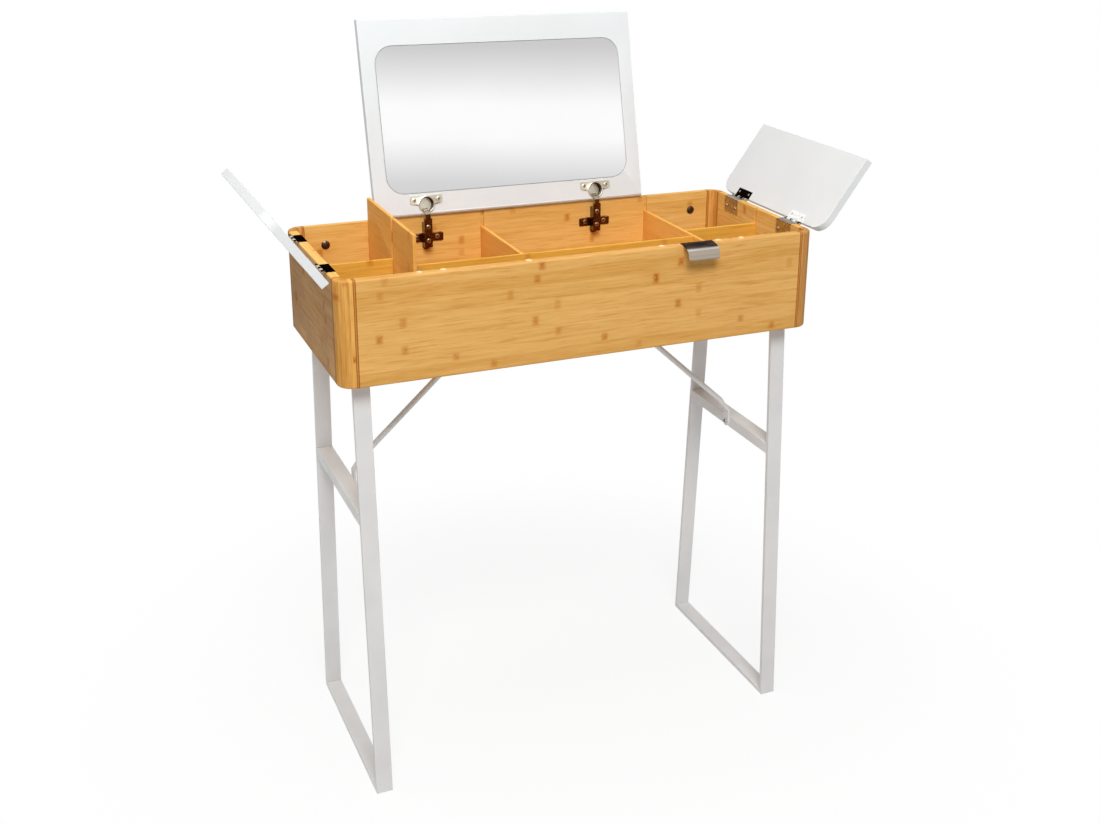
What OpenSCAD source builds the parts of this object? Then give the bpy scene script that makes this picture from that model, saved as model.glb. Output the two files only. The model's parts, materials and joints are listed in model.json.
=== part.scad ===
// Vanity table: a shallow bamboo box with three lids on two steel leg frames.
// Millimetres. The origin is on the floor under the middle of the box,
// +X to the right, +Y to the back, +Z up. It is drawn with its lids open.

/* [Box] */
// Width of the box
box_w = 720; // [640:10:860]
// Depth of the box
box_d = 300; // [290:5:340]
// Height of the box
box_h = 148.5; // [140:0.5:180]
// Height of the box's underside above the floor
stand_h = 634.5; // [560:0.5:720]
// Thickness of the walls
wall_t = 12; // [10:1:15]
// Radius of the upright corner posts
corner_r = 22; // [18:1:28]
// Rounding of the walls' outer edges
rim_r = 3; // [1:0.5:5]
// Thickness of the bottom board
bottom_t = 8; // [6:1:12]
// Depth of the rabbet that the bottom board sits in
rabbet_d = 6; // [4:1:7]

/* [Dividers] */
// Thickness of every divider board
board_t = 5; // [4:0.5:6]
// Height of the divider boards
board_h = 117.5; // [100:0.5:130]
// Depth of the grooves that hold the boards' ends
groove_d = 3; // [2:0.5:4]
// Clearance of a board in its groove or slot
board_fit = 0.3; // [0.2:0.1:0.5]
// Distance of the tall divider from the box's left end
tall_in = 124; // [122:1:135]
// Length of the tall divider
tall_len = 229; // [180:1:260]
// Place of the centre divider, left of the middle
centre_x = 59; // [0:1:100]
// Distance of the right divider from the box's right end
right_in = 139; // [120:1:145]
// Place of the left long board behind the middle
left_board_y = 12; // [-30:1:60]
// Place of the centre long board in front of the middle
centre_board_y = 33; // [0:1:80]
// Place of the right long board behind the middle
right_board_y = 3; // [-40:1:60]

/* [Lids] */
// Thickness of the lids
lid_t = 12; // [12:0.5:16]
// Height of the closed lids above the rim
lid_gap = 2; // [2:0.1:3]
// Depth of the centre lid
centre_lid_d = 293; // [285:1:293]
// Distance of the closed centre lid's hinge edge from the box's back
hinge_edge_in = 2.2; // [2:0.1:4]
// Width of the left lid
left_lid_w = 121; // [100:1:121]
// Width of the right lid
right_lid_w = 127; // [110:1:134]
// Gap between the closed left and centre lids
left_lid_gap = 10.5; // [9:0.5:16]
// Gap between the closed centre and right lids
right_lid_gap = 23; // [10:0.5:24]
// Corner radius of the side lids' rounded pairs of corners
side_corner_r = 24; // [10:1:30]
// Rounding of the centre lid's hinge edge
hinge_edge_r = 5; // [5:0.1:5.5]
// Opening angle of the centre lid
centre_open = 103.6; // [95:0.2:103.6]
// Opening angle of the left lid
left_open = 126; // [100:1:130]
// Opening angle of the right lid
right_open = 126; // [100:1:130]

/* [Mirror] */
// Thickness of the mirror
mirror_t = 3; // [2:0.5:5]
// Corner radius of the mirror
mirror_r = 27; // [10:1:40]
// Distance of the mirror from the centre lid's two ends
mirror_side = 22; // [15:1:60]
// Distance of the mirror from the centre lid's hinge edge
mirror_low = 34; // [32:1:60]
// Distance of the mirror from the centre lid's free edge
mirror_high = 40.5; // [20:0.5:80]
// Gap between the mirror and the edge of its recess
mirror_gap = 0.5; // [0.3:0.1:1]
// Depth of the mirror's face below the lid's face
mirror_sink = 0.3; // [0.1:0.1:0.8]

/* [Cup hinges] */
// Place of the left cup hinge, left of the middle
cup_left_x = 147; // [110:1:180]
// Place of the right cup hinge, right of the middle
cup_right_x = 132.5; // [100:0.5:170]
// Outer diameter of the cup
cup_dia = 26; // [26:1:28]
// Depth of the cup
cup_depth = 10.8; // [10.6:0.1:10.9]
// Distance of the cup's middle from the lid's edge
cup_edge = 16.5; // [16:0.5:18]
// Distance between the cup's two screws
cup_pitch = 38; // [36:1:42]
// Length of the cup's flange
flange_l = 50.8; // [49:0.2:54]
// Width of the cup's flange
flange_w = 11; // [9:1:12]
// Corner radius of the hinges' flanges and plates
plate_r = 2; // [1:0.5:4]
// Distance of the pin from the lid's edge
pin_edge = 8.2; // [8:0.1:8.6]
// Depth of the pin below the lid's inner face
pin_depth = 8; // [7.6:0.1:8]
// Radius of the pin
cup_pin_r = 1.2; // [1:0.1:1.3]
// Width of the arm
arm_w = 12.4; // [11:0.2:14]
// Width of the arm's hook, inside the cup
hook_w = 8; // [6.5:0.5:8]
// Distance of the arm's front face from the back panel
arm_out = 14; // [13.5:0.25:15]
// Thickness of the arm's steel
arm_t = 1.8; // [1.4:0.1:2]
// Length of the arm below the rim
arm_low = 50; // [44:1:60]
// Distance between the mounting plate's two screws
plate_pitch = 32; // [28:1:36]
// Width of the mounting plate's wings
plate_w = 51.5; // [46:0.5:58]
// Height of the mounting plate's wings
plate_h = 14; // [11:1:18]
// Distance of the mounting plate's screws below the rim
plate_drop = 33.5; // [30:0.5:38]

/* [Butt hinges] */
// Distance of each butt hinge from the middle
butt_y = 80; // [60:1:105]
// Length of a butt hinge
butt_l = 40; // [30:1:50]
// Radius of the barrel
barrel_r = 3; // [2.5:0.1:3.1]
// Radius of the pin
butt_pin_r = 1.2; // [1:0.1:1.5]
// Depth of the barrel's middle below the rim
barrel_drop = 1; // [0:0.1:1.2]
// Thickness of the leaves
leaf_t = 1; // [0.8:0.1:1]
// Height of the box leaf on the wall's inner face
leaf_h = 24; // [18:1:30]
// Width of the leaf on the lid's inner face
lid_leaf_w = 13; // [12:1:30]
// Distance between a leaf's two screws
leaf_pitch = 28; // [20:1:30]
// Number of knuckles in a barrel
knuckles = 5; // [3:2:7]

/* [Stand] */
// Width of the steel bar
bar_w = 24; // [18:1:30]
// Thickness of the steel bar
bar_t = 7; // [5:0.5:10]
// Distance of a frame's outer face from the box's end
frame_in = 23; // [16:1:60]
// Distance of the legs' tops from the box's front and back
leg_in_top = 31; // [16:1:40]
// Splay of the legs: how much further out their feet stand than their tops
leg_splay = 36; // [0:1:60]
// Height of the crossbar's middle above the floor
cross_z = 430; // [300:0.5:480]
// Height of the crossbar's section
cross_h = 17; // [12:1:30]
// Radius of the braces' tube
brace_r = 4.2; // [3:0.1:6]
// Width of the braces' flattened ends
brace_w = 16; // [14:1:22]
// Thickness of the braces' flattened ends
brace_t = 3; // [2:0.5:5]
// Distance from the crossbar's middle to the brace's lower bend
brace_bend = 33; // [30:1:50]
// Slope of the braces
brace_slope = 42.5; // [38:0.5:54]
// Distance from the brace's upper bend to its screw
brace_tab = 22; // [20:1:40]

/* [Pull] */
// Width of the pull
pull_w = 50; // [36:1:90]
// Distance of the pull's middle from the box's right end
pull_in = 195.5; // [192:0.5:460]
// Thickness of the pull's steel
pull_t = 1.4; // [1:0.1:1.6]
// Reach of the pull in front of the box
pull_out = 26; // [18:1:40]
// Drop of the pull's front below the rim
pull_drop = 17; // [12:1:30]
// Radius of the pull's bend
pull_r = 6; // [3:0.5:8]
// Length of the pull's foot on the rim
pull_foot = 11; // [8:1:11]

/* [Small parts] */
// Radius of a bumper
pad_r = 4.5; // [3:0.5:4.5]
// Radius of the back panel's screw heads
back_screw_r = 6.5; // [4:0.5:8]
// Distance of the back panel's screws below the rim
back_screw_drop = 29.5; // [20:0.5:60]
// Distance of the back panel's screws from the box's ends
back_screw_in = 56; // [44:1:70]
// Radius of a hinge screw's head
screw_r = 3; // [2.5:0.1:3.5]
// Radius of the stand's screw heads
bolt_r = 6; // [5:0.5:7]

/* [Hidden] */
$fn = 48;
e = 0.01;
seat = 0.02;

// The box's main faces
half_w = box_w / 2;
half_d = box_d / 2;
in_w = half_w - wall_t;
in_d = half_d - wall_t;
rim_z = stand_h + box_h;
floor_z = stand_h + bottom_t;
post_x = half_w - corner_r;
post_y = half_d - corner_r;

back_screw_x = half_w - back_screw_in;
pull_x = half_w - pull_in;

// The dividers
tall_x = half_w - tall_in;
right_x = half_w - right_in;
board_top = floor_z + board_h;
slot_w = board_t + 2 * board_fit;
board_end = groove_d - board_fit;
lap_h = board_h / 2;
tall_low = board_top - lap_h;
lap_end = 8;

// The closed lids, and the pivots that they open about
lid_z = rim_z + lid_gap;
hinge_edge_y = half_d - hinge_edge_in;
centre_left = -half_w + left_lid_w + left_lid_gap;
centre_right = half_w - right_lid_w - right_lid_gap;
centre_lid_w = centre_right - centre_left;
side_lid_d = box_d - 2;
pin_y = hinge_edge_y - pin_edge;
pin_z = lid_z + pin_depth;
barrel_x = half_w + barrel_r + 0.3;
barrel_z = rim_z - barrel_drop;

// The mirror
mirror_w = centre_lid_w - 2 * mirror_side;
mirror_d = centre_lid_d - mirror_low - mirror_high;
mirror_x = (centre_left + centre_right) / 2;
mirror_y = hinge_edge_y - mirror_low - mirror_d / 2;
recess = mirror_t + mirror_sink + seat;

// The cup hinges
cup_r = cup_dia / 2;
cup_wall = 0.9;
cup_floor = 0.4;
cup_y = hinge_edge_y - cup_edge;
flange_y = hinge_edge_y - cup_edge - 4.5;
flange_t = 1;
pin_fit = 0.05;
knuckle_r = cup_pin_r + 1;
hook_z = pin_z + 0.5;
hook_y = in_d - arm_out + arm_t / 2;
hook_bend = 3.4;
neck_z = lid_z - 4;
plate_t = 1.6;
rail_t = 9.4;
rail_w = arm_w - 3.2;
rail_low = rim_z - arm_low;
rail_high = rim_z - 12;
arm_screw_drop = 18.3;
arm_screw_pitch = 23.3;
arm_screw_top = rim_z - arm_screw_drop;
arm_screw_low = arm_screw_top - arm_screw_pitch;

// The bumpers' distances from the lids' ends, from each other and from the pull
pad_left_in = 8;
pad_first_in = 15;
pad_pitch = 121;
pad_pull_gap = 26;
pad_last_in = 10;
pad_right_in = 5;

// The leg frames
frame_x = half_w - frame_in;
leg_top = half_d - leg_in_top;
leg_foot = leg_top + leg_splay;
slant = (leg_foot - leg_top) / stand_h;
bar_y = bar_t * sqrt(1 + slant * slant);
function leg_out(z) = leg_foot - slant * z;
function leg_in(z) = leg_out(z) - bar_y;
inner_x = frame_x - bar_w;
cross_low = cross_z - cross_h / 2;
cross_high = cross_z + cross_h / 2;
bend_z = cross_z + brace_bend;
bend_run = (stand_h - bend_z) / tan(brace_slope);
tab_x = inner_x - bend_run;
brace_screw_x = tab_x - brace_tab;
screw_seat = 0.02;
frame_screw_in = 40;

// A wall as seen from its end, with its outer edges rounded at the top and the bottom.
// The outer face is at u = 0 and the inner face at u = wall_t.
module wall_profile() {
    difference() {
        union() {
            translate([0, stand_h + rim_r]) square([wall_t, box_h - 2 * rim_r]);
            translate([rim_r, stand_h]) square([wall_t - rim_r, box_h]);
            for (z = [stand_h + rim_r, rim_z - rim_r]) translate([rim_r, z]) circle(rim_r);
        }
        translate([wall_t - rabbet_d, stand_h - 1]) square([rabbet_d + 1, bottom_t + 1]);
    }
}

// A wall along X, from x0 to x1, with its outer face at y = 0 and facing -Y
module wall_x(x0, x1) {
    translate([x0, 0, 0]) rotate([90, 0, 90]) linear_extrude(x1 - x0) wall_profile();
}

// A groove for a board's end, cut upright into a wall along X
module groove_x(x, y) {
    translate([x - slot_w / 2, y, floor_z]) cube([slot_w, groove_d, box_h]);
}

module front_panel() {
    color("burlywood") difference() {
        translate([0, -half_d, 0]) wall_x(-post_x, post_x);
        groove_x(right_x, -in_d - groove_d);
    }
}

module back_panel() {
    color("burlywood") difference() {
        translate([0, half_d, 0]) mirror([0, 1, 0]) wall_x(-post_x, post_x);
        for (x = [-tall_x, -centre_x, right_x]) groove_x(x, in_d);
        for (x = [-back_screw_x, back_screw_x])
            translate([x, in_d - 1, rim_z - back_screw_drop]) rotate([-90, 0, 0])
                cylinder(r = 2.2, h = 9);
    }
}

// The notches that the butt hinges' leaves cross the rim in
module rim_notches() {
    for (y = [-butt_y, butt_y])
        translate([in_w - 1, y - butt_l / 2 - 0.3, rim_z - leaf_t])
            cube([wall_t + 2, butt_l + 0.6, leaf_t + 1]);
}

module side_panel(board_y) {
    difference() {
        translate([half_w, 0, 0]) rotate([0, 0, 90]) wall_x(-post_y, post_y);
        rim_notches();
        translate([in_w, board_y - slot_w / 2, floor_z]) cube([groove_d, slot_w, box_h]);
    }
}

module left_panel() {
    color("peru") mirror([1, 0, 0]) side_panel(left_board_y);
}

module right_panel() {
    color("peru") side_panel(right_board_y);
}

// The bottom board sits in the walls' rabbets and stops short of the posts
module bottom_panel() {
    lip = wall_t - rabbet_d;
    color("tan") difference() {
        translate([-half_w + lip, -half_d + lip, stand_h])
            cube([box_w - 2 * lip, box_d - 2 * lip, bottom_t]);
        for (sx = [-1, 1], sy = [-1, 1]) scale([sx, sy, 1]) {
            translate([post_x, post_y, stand_h - 1]) cube([corner_r, corner_r, bottom_t + 2]);
        }
    }
}

// A quarter-round post with a square inside corner and rounded ends
module post() {
    difference() {
        translate([post_x, post_y, 0]) intersection() {
            rotate_extrude() {
                translate([0, stand_h + rim_r]) square([corner_r, box_h - 2 * rim_r]);
                translate([0, stand_h]) square([corner_r - rim_r, box_h]);
                for (z = [stand_h + rim_r, rim_z - rim_r])
                    translate([corner_r - rim_r, z]) circle(rim_r);
            }
            translate([0, 0, stand_h]) cube([corner_r, corner_r, box_h]);
        }
        translate([post_x - 1, post_y - 1, floor_z])
            cube([in_w - post_x + 1, in_d - post_y + 1, box_h]);
    }
}

module front_left_post() {
    color("sandybrown") rotate([0, 0, 180]) post();
}

module front_right_post() {
    color("sandybrown") mirror([0, 1, 0]) post();
}

module back_left_post() {
    color("sandybrown") mirror([1, 0, 0]) post();
}

module back_right_post() {
    color("sandybrown") post();
}

// A divider across the box, from y0 to y1
module board_y(x, y0, y1, low, high) {
    translate([x - board_t / 2, y0, low]) cube([board_t, y1 - y0, high - low]);
}

// A board along the box, from x0 to x1
module board_x(y, x0, x1) {
    translate([x0, y - board_t / 2, floor_z]) cube([x1 - x0, board_t, board_h]);
}

// The half-lapped divider, upside down on the long board, so that it stands proud of the rim
module tall_divider() {
    color("goldenrod") difference() {
        board_y(-tall_x, in_d + board_end - tall_len, in_d + board_end, tall_low, tall_low + board_h);
        translate([-tall_x - board_t, left_board_y - slot_w / 2, board_top - board_fit])
            cube([2 * board_t, slot_w, board_h]);
    }
}

module centre_divider() {
    color("goldenrod")
        board_y(-centre_x, -centre_board_y + board_t / 2, in_d + board_end, floor_z, board_top);
}

module right_divider() {
    color("goldenrod")
        board_y(right_x, -in_d - board_end, in_d + board_end, floor_z, board_top);
}

module left_long_board() {
    color("gold") difference() {
        board_x(left_board_y, -in_w - board_end, -tall_x + board_t / 2 + lap_end);
        translate([-tall_x - slot_w / 2, left_board_y - board_t, tall_low])
            cube([slot_w, 2 * board_t, board_h]);
    }
}

module centre_long_board() {
    color("gold")
        board_x(-centre_board_y, -tall_x + board_t / 2, right_x - board_t / 2);
}

module right_long_board() {
    color("gold")
        board_x(right_board_y, right_x + board_t / 2, in_w + board_end);
}

// A strip of steel that lies on the rim, bends down in front and ends in a rolled lip
module pull_profile() {
    y0 = -half_d - pull_out;
    bend_y = y0 + pull_r;
    bend_top = rim_z + pull_t - pull_r;
    translate([bend_y, rim_z]) square([pull_foot - y0 - pull_r - half_d, pull_t]);
    intersection() {
        translate([bend_y, bend_top]) difference() {
            circle(pull_r);
            circle(pull_r - pull_t);
        }
        translate([y0, bend_top]) square([pull_r, pull_r]);
    }
    translate([y0, rim_z - pull_drop]) square([pull_t, bend_top - rim_z + pull_drop]);
}

module pull() {
    color("silver") translate([pull_x - pull_w / 2, 0, 0]) rotate([90, 0, 90])
        linear_extrude(pull_w) pull_profile();
}

// Domed bumpers that the lids close on
module rim_pads() {
    pad_h = lid_gap - board_fit;
    pad_y = -half_d + rim_r + pad_r;
    pad_first = centre_left + pad_first_in;
    color("white") for (x = [centre_left - left_lid_gap - pad_left_in,
            pad_first, pad_first + pad_pitch, pull_x - pull_w / 2 - pad_r - pad_pull_gap,
            centre_right - pad_last_in, centre_right + right_lid_gap + pad_right_in])
        translate([x, pad_y, rim_z]) rotate_extrude() intersection() {
            translate([0, pad_h - pad_r * 2]) circle(pad_r * 2);
            square([pad_r, pad_h]);
        }
}

module back_wall_screws() {
    color("dimgray") for (x = [-back_screw_x, back_screw_x])
        translate([x, in_d, rim_z - back_screw_drop]) rotate([90, 0, 0]) {
            rotate_extrude() intersection() {
                translate([0, -back_screw_r]) circle(back_screw_r + 2.6);
                square([back_screw_r, 2.6]);
            }
            translate([0, 0, -7.8]) cylinder(r = 2.1, h = 7.9);
        }
}

// A leg in the Y-Z plane, mitred to the rails at its two ends
module leg_profile() {
    polygon([[leg_out(0), 0], [leg_out(stand_h), stand_h],
        [leg_in(stand_h - bar_t), stand_h - bar_t], [leg_in(bar_t), bar_t]]);
}

module rail_profile(z_out, z_in) {
    polygon([[-leg_out(z_out), z_out], [leg_out(z_out), z_out],
        [leg_in(z_in), z_in], [-leg_in(z_in), z_in]]);
}

// An outline in the Y-Z plane, as wide as the frame's bar, on the right-hand frame
module frame_bar() {
    translate([inner_x, 0, 0]) rotate([90, 0, 90]) linear_extrude(bar_w) children();
}

module back_leg() {
    color("gainsboro") frame_bar() leg_profile();
}

module floor_rail() {
    color("gainsboro") frame_bar() rail_profile(0, bar_t);
}

module top_rail() {
    color("gainsboro") frame_bar() rail_profile(stand_h, stand_h - bar_t);
}

module crossbar() {
    color("gainsboro") frame_bar() polygon([
        [-leg_in(cross_low), cross_low], [leg_in(cross_low), cross_low],
        [leg_in(cross_high), cross_high], [-leg_in(cross_high), cross_high]]);
}

module right_back_leg() {
    back_leg();
}

module right_front_leg() {
    mirror([0, 1, 0]) back_leg();
}

module left_back_leg() {
    mirror([1, 0, 0]) back_leg();
}

module left_front_leg() {
    mirror([1, 0, 0]) mirror([0, 1, 0]) back_leg();
}

module right_floor_rail() {
    floor_rail();
}

module left_floor_rail() {
    mirror([1, 0, 0]) floor_rail();
}

module right_top_rail() {
    top_rail();
}

module left_top_rail() {
    mirror([1, 0, 0]) top_rail();
}

module right_crossbar() {
    crossbar();
}

module left_crossbar() {
    mirror([1, 0, 0]) crossbar();
}

// A slice of the braces' tube, from a to b along its axis
module brace_tube(a, b) {
    translate([inner_x - brace_r, 0, bend_z - brace_r]) rotate([0, brace_slope - 90, 0])
        translate([0, 0, a]) cylinder(r = brace_r, h = b - a);
}

// A tube whose ends are pressed flat, one on the crossbar and one under the box
module brace() {
    half = brace_w / 2;
    press = 14;
    run = bend_run / cos(brace_slope);
    tab_low = bend_z - press;
    tab_end = tab_x - press;
    color("gainsboro") difference() {
        union() {
            brace_tube(press, run - press);
            hull() {
                brace_tube(press, press + 1);
                translate([inner_x - brace_t, -half, tab_low]) cube([brace_t, brace_w, 1]);
            }
            hull() {
                brace_tube(run - press - 1, run - press);
                translate([tab_end, -half, stand_h - brace_t]) cube([1, brace_w, brace_t]);
            }
            translate([inner_x - brace_t, -half, cross_z])
                cube([brace_t, brace_w, tab_low + 1 - cross_z]);
            translate([inner_x - brace_t, 0, cross_z]) rotate([0, 90, 0])
                cylinder(r = half, h = brace_t);
            translate([brace_screw_x, -half, stand_h - brace_t])
                cube([tab_end + 1 - brace_screw_x, brace_w, brace_t]);
            translate([brace_screw_x, 0, stand_h - brace_t]) cylinder(r = half, h = brace_t);
        }
        translate([inner_x - brace_t - 1, 0, cross_z]) rotate([0, 90, 0])
            cylinder(r = 3.1, h = brace_t + 2);
        translate([brace_screw_x, 0, stand_h - brace_t - 1])
            cylinder(r = 2.6, h = brace_t + 2);
    }
}

module right_brace() {
    brace();
}

module left_brace() {
    mirror([1, 0, 0]) brace();
}

// A domed screw head of radius r that stands on z = 0, over a shank below it
module dome_screw(r, shank_r, shank_l) {
    rotate_extrude() intersection() {
        translate([0, -r]) circle(r * 1.4);
        square([r, r * 0.4]);
    }
    translate([0, 0, -shank_l]) cylinder(r = shank_r, h = shank_l + e);
}

module brace_bolts() {
    color("dimgray") for (s = [0, 1]) mirror([s, 0, 0]) {
        translate([inner_x - brace_t - screw_seat, 0, cross_z]) rotate([0, -90, 0])
            dome_screw(bolt_r, 3, brace_t);
        translate([brace_screw_x, 0, stand_h - brace_t - screw_seat]) rotate([180, 0, 0])
            dome_screw(bolt_r * 0.8, 2.5, brace_t);
    }
}

module frame_screws() {
    x = inner_x + bar_w / 2;
    y = leg_top - frame_screw_in;
    color("dimgray") for (sx = [-1, 1], sy = [-1, 1])
        translate([sx * x, sy * y, stand_h - bar_t - screw_seat])
            rotate([180, 0, 0]) dome_screw(bolt_r * 0.8, 2, e);
}

// The two places of what belongs to a cup hinge
module at_cups() {
    for (x = [-cup_left_x, cup_right_x]) translate([x, 0, 0]) children();
}

// A cross-shaped plate with a raised rail that the arm slides over
module hinge_plates() {
    z = rim_z - plate_drop;
    color("silver") at_cups() difference() {
        union() {
            translate([0, in_d - plate_t / 2, z]) rotate([90, 0, 0])
                rounded_plate(plate_w, plate_h, plate_t, plate_r);
            translate([-arm_w / 2, in_d - plate_t, rail_low])
                cube([arm_w, plate_t, rail_high - rail_low]);
            translate([-rail_w / 2, in_d - rail_t, rail_low])
                cube([rail_w, rail_t, rail_high - rail_low]);
            translate([0, in_d, rail_low]) rotate([90, 0, 0]) cylinder(r = arm_w / 2, h = plate_t);
        }
        for (s = [-1, 1]) translate([s * plate_pitch / 2, in_d - plate_t - 1, z])
            rotate([-90, 0, 0]) cylinder(r = 2.2, h = plate_t + 2);
    }
}

module plate_screws() {
    color("gray") at_cups() for (s = [-1, 1])
        translate([s * plate_pitch / 2, in_d - plate_t - screw_seat, rim_z - plate_drop])
            rotate([90, 0, 0]) dome_screw(screw_r, 2, plate_t);
}

// The arm's side view: a strip up the front, and the hook that reaches back to the pin
module hook_profile() {
    top = hook_z - hook_bend - arm_t / 2;
    translate([hook_y - arm_t / 2, neck_z]) square([arm_t, top - neck_z]);
    intersection() {
        translate([hook_y + hook_bend + arm_t / 2, top]) difference() {
            circle(hook_bend + arm_t);
            circle(hook_bend);
        }
        translate([hook_y - arm_t / 2, top])
            square([hook_bend + arm_t + e, hook_bend + arm_t]);
    }
    translate([hook_y + hook_bend + arm_t / 2, hook_z - arm_t / 2])
        square([pin_y - hook_y - hook_bend - arm_t / 2, arm_t]);
    translate([pin_y, pin_z]) circle(knuckle_r);
}

module hinge_arms() {
    face_y = hook_y - arm_t / 2;
    cheek_h = rail_high - rail_low;
    color("silver") at_cups() difference() {
        union() {
            translate([-hook_w / 2, 0, 0]) rotate([90, 0, 90]) linear_extrude(hook_w)
                hook_profile();
            translate([-arm_w / 2, face_y, rail_low]) cube([arm_w, arm_t, neck_z - rail_low]);
            for (x = [-arm_w / 2, arm_w / 2 - 1.2]) translate([x, face_y, rail_low])
                cube([1.2, in_d - plate_t - 0.3 - face_y, cheek_h]);
        }
        translate([-arm_w, pin_y, pin_z]) rotate([0, 90, 0])
            cylinder(r = cup_pin_r + pin_fit, h = 2 * arm_w);
        for (z = [arm_screw_low, arm_screw_top]) translate([0, face_y - 1, z])
            rotate([-90, 0, 0]) cylinder(r = 2.2, h = arm_t + 2);
    }
}

module arm_screws() {
    color("gray") at_cups() for (z = [arm_screw_low, arm_screw_top])
        translate([0, hook_y - arm_t / 2 - screw_seat, z]) rotate([90, 0, 0])
            dome_screw(screw_r * 1.1, 2, arm_t);
}

// What is drawn closed is turned to where it stands open
module open_centre() {
    translate([0, pin_y, pin_z]) rotate([-centre_open, 0, 0]) translate([0, -pin_y, -pin_z])
        children();
}

module open_left() {
    translate([-barrel_x, 0, barrel_z]) rotate([0, -left_open, 0])
        translate([barrel_x, 0, -barrel_z]) children();
}

module open_right() {
    translate([barrel_x, 0, barrel_z]) rotate([0, right_open, 0])
        translate([-barrel_x, 0, -barrel_z]) children();
}

// The centre lid's side view, with both edges rounded
module lid_profile() {
    y0 = hinge_edge_y - centre_lid_d;
    free_r = 2.5;
    translate([y0 + free_r, 0]) square([centre_lid_d - free_r - hinge_edge_r, lid_t]);
    translate([y0, free_r]) square([free_r + e, lid_t - 2 * free_r]);
    for (z = [free_r, lid_t - free_r]) translate([y0 + free_r, z]) circle(free_r);
    translate([hinge_edge_y - hinge_edge_r - e, hinge_edge_r])
        square([hinge_edge_r + e, lid_t - 2 * hinge_edge_r]);
    for (z = [hinge_edge_r, lid_t - hinge_edge_r])
        translate([hinge_edge_y - hinge_edge_r, z]) circle(hinge_edge_r);
}

module centre_lid() {
    color("whitesmoke") open_centre() difference() {
        translate([centre_left, 0, lid_z]) rotate([90, 0, 90])
            linear_extrude(centre_lid_w) lid_profile();
        at_cups() translate([0, cup_y, lid_z - 1]) cylinder(r = cup_r, h = cup_depth + 1.2);
        translate([mirror_x, mirror_y, lid_z + recess / 2 - 0.5])
            rounded_plate(mirror_w + 2 * mirror_gap, mirror_d + 2 * mirror_gap, recess + 1,
                mirror_r + mirror_gap);
    }
}

// A plate with four rounded corners, centred on x and y
module rounded_plate(w, d, t, r) {
    cube([w - 2 * r, d, t], center = true);
    cube([w, d - 2 * r, t], center = true);
    for (sx = [-1, 1], sy = [-1, 1]) translate([sx * (w / 2 - r), sy * (d / 2 - r), 0])
        cylinder(r = r, h = t, center = true);
}

// The mirror lies in a recess of the lid's inner face
module mirror_plate() {
    color("lightsteelblue") open_centre()
        translate([mirror_x, mirror_y, lid_z + mirror_sink + mirror_t / 2])
            rounded_plate(mirror_w, mirror_d, mirror_t, mirror_r);
}

// A drawn steel cup with a flange that takes the two screws
module hinge_cups() {
    color("silver") open_centre() at_cups() difference() {
        union() {
            translate([0, cup_y, lid_z]) cylinder(r = cup_r - 0.1, h = cup_depth);
            intersection() {
                translate([0, cup_y, lid_z - flange_t]) cylinder(r = cup_r + 0.8, h = flange_t);
                translate([-cup_dia, pin_y - 2 * cup_dia, lid_z - flange_t])
                    cube([2 * cup_dia, 2 * cup_dia, flange_t]);
            }
            translate([0, flange_y, lid_z - flange_t / 2])
                rounded_plate(flange_l, flange_w, flange_t, plate_r);
        }
        translate([0, cup_y, lid_z - flange_t - 1])
            cylinder(r = cup_r - 0.1 - cup_wall, h = cup_depth - cup_floor + flange_t + 1);
        for (s = [-1, 1]) translate([s * cup_pitch / 2, flange_y, lid_z - flange_t - 1])
            cylinder(r = 2, h = flange_t + 2);
        translate([-cup_r, pin_y, pin_z]) rotate([0, 90, 0])
            cylinder(r = cup_pin_r + pin_fit, h = cup_dia);
    }
}

module cup_screws() {
    color("gray") open_centre() at_cups() for (s = [-1, 1])
        translate([s * cup_pitch / 2, flange_y, lid_z - flange_t - screw_seat])
            rotate([180, 0, 0]) dome_screw(screw_r, 1.8, flange_t);
}

// The pin runs across the cup, held in the cup's two sides
module cup_pins() {
    side = cup_edge - pin_edge;
    reach = sqrt(pow(cup_r - 0.2, 2) - pow(side + cup_pin_r, 2));
    color("gray") open_centre() at_cups() translate([-reach, pin_y, pin_z])
        rotate([0, 90, 0]) cylinder(r = cup_pin_r, h = 2 * reach);
}

// A side lid drawn closed on the right, its hinge edge at the box's side
module side_lid(w, round_free) {
    r = side_corner_r;
    x0 = half_w - w;
    half = side_lid_d / 2;
    rx = round_free ? x0 + r : half_w - r;
    sx = round_free ? x0 + r : x0;
    translate([0, 0, lid_z]) {
        translate([sx, -half, 0]) cube([w - r, side_lid_d, lid_t]);
        translate([x0, -half + r, 0]) cube([w, side_lid_d - 2 * r, lid_t]);
        for (s = [-1, 1]) translate([rx, s * (half - r), 0]) cylinder(r = r, h = lid_t);
    }
}

module left_lid() {
    color("whitesmoke") open_left() mirror([1, 0, 0]) side_lid(left_lid_w, true);
}

module right_lid() {
    color("whitesmoke") open_right() side_lid(right_lid_w, false);
}

// The two places of what belongs to a butt hinge
module at_butts() {
    for (y = [-butt_y, butt_y]) translate([0, y, 0]) children();
}

// Every other knuckle of a barrel, from the first or from the second
module barrel(first) {
    step = butt_l / knuckles;
    for (i = [first : 2 : knuckles - 1])
        translate([barrel_x, -butt_l / 2 + i * step + 0.15, barrel_z]) rotate([-90, 0, 0])
            cylinder(r = barrel_r, h = step - 0.3);
}

module barrel_bore() {
    translate([barrel_x, -butt_l, barrel_z]) rotate([-90, 0, 0])
        cylinder(r = butt_pin_r + pin_fit, h = 2 * butt_l);
}

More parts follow.
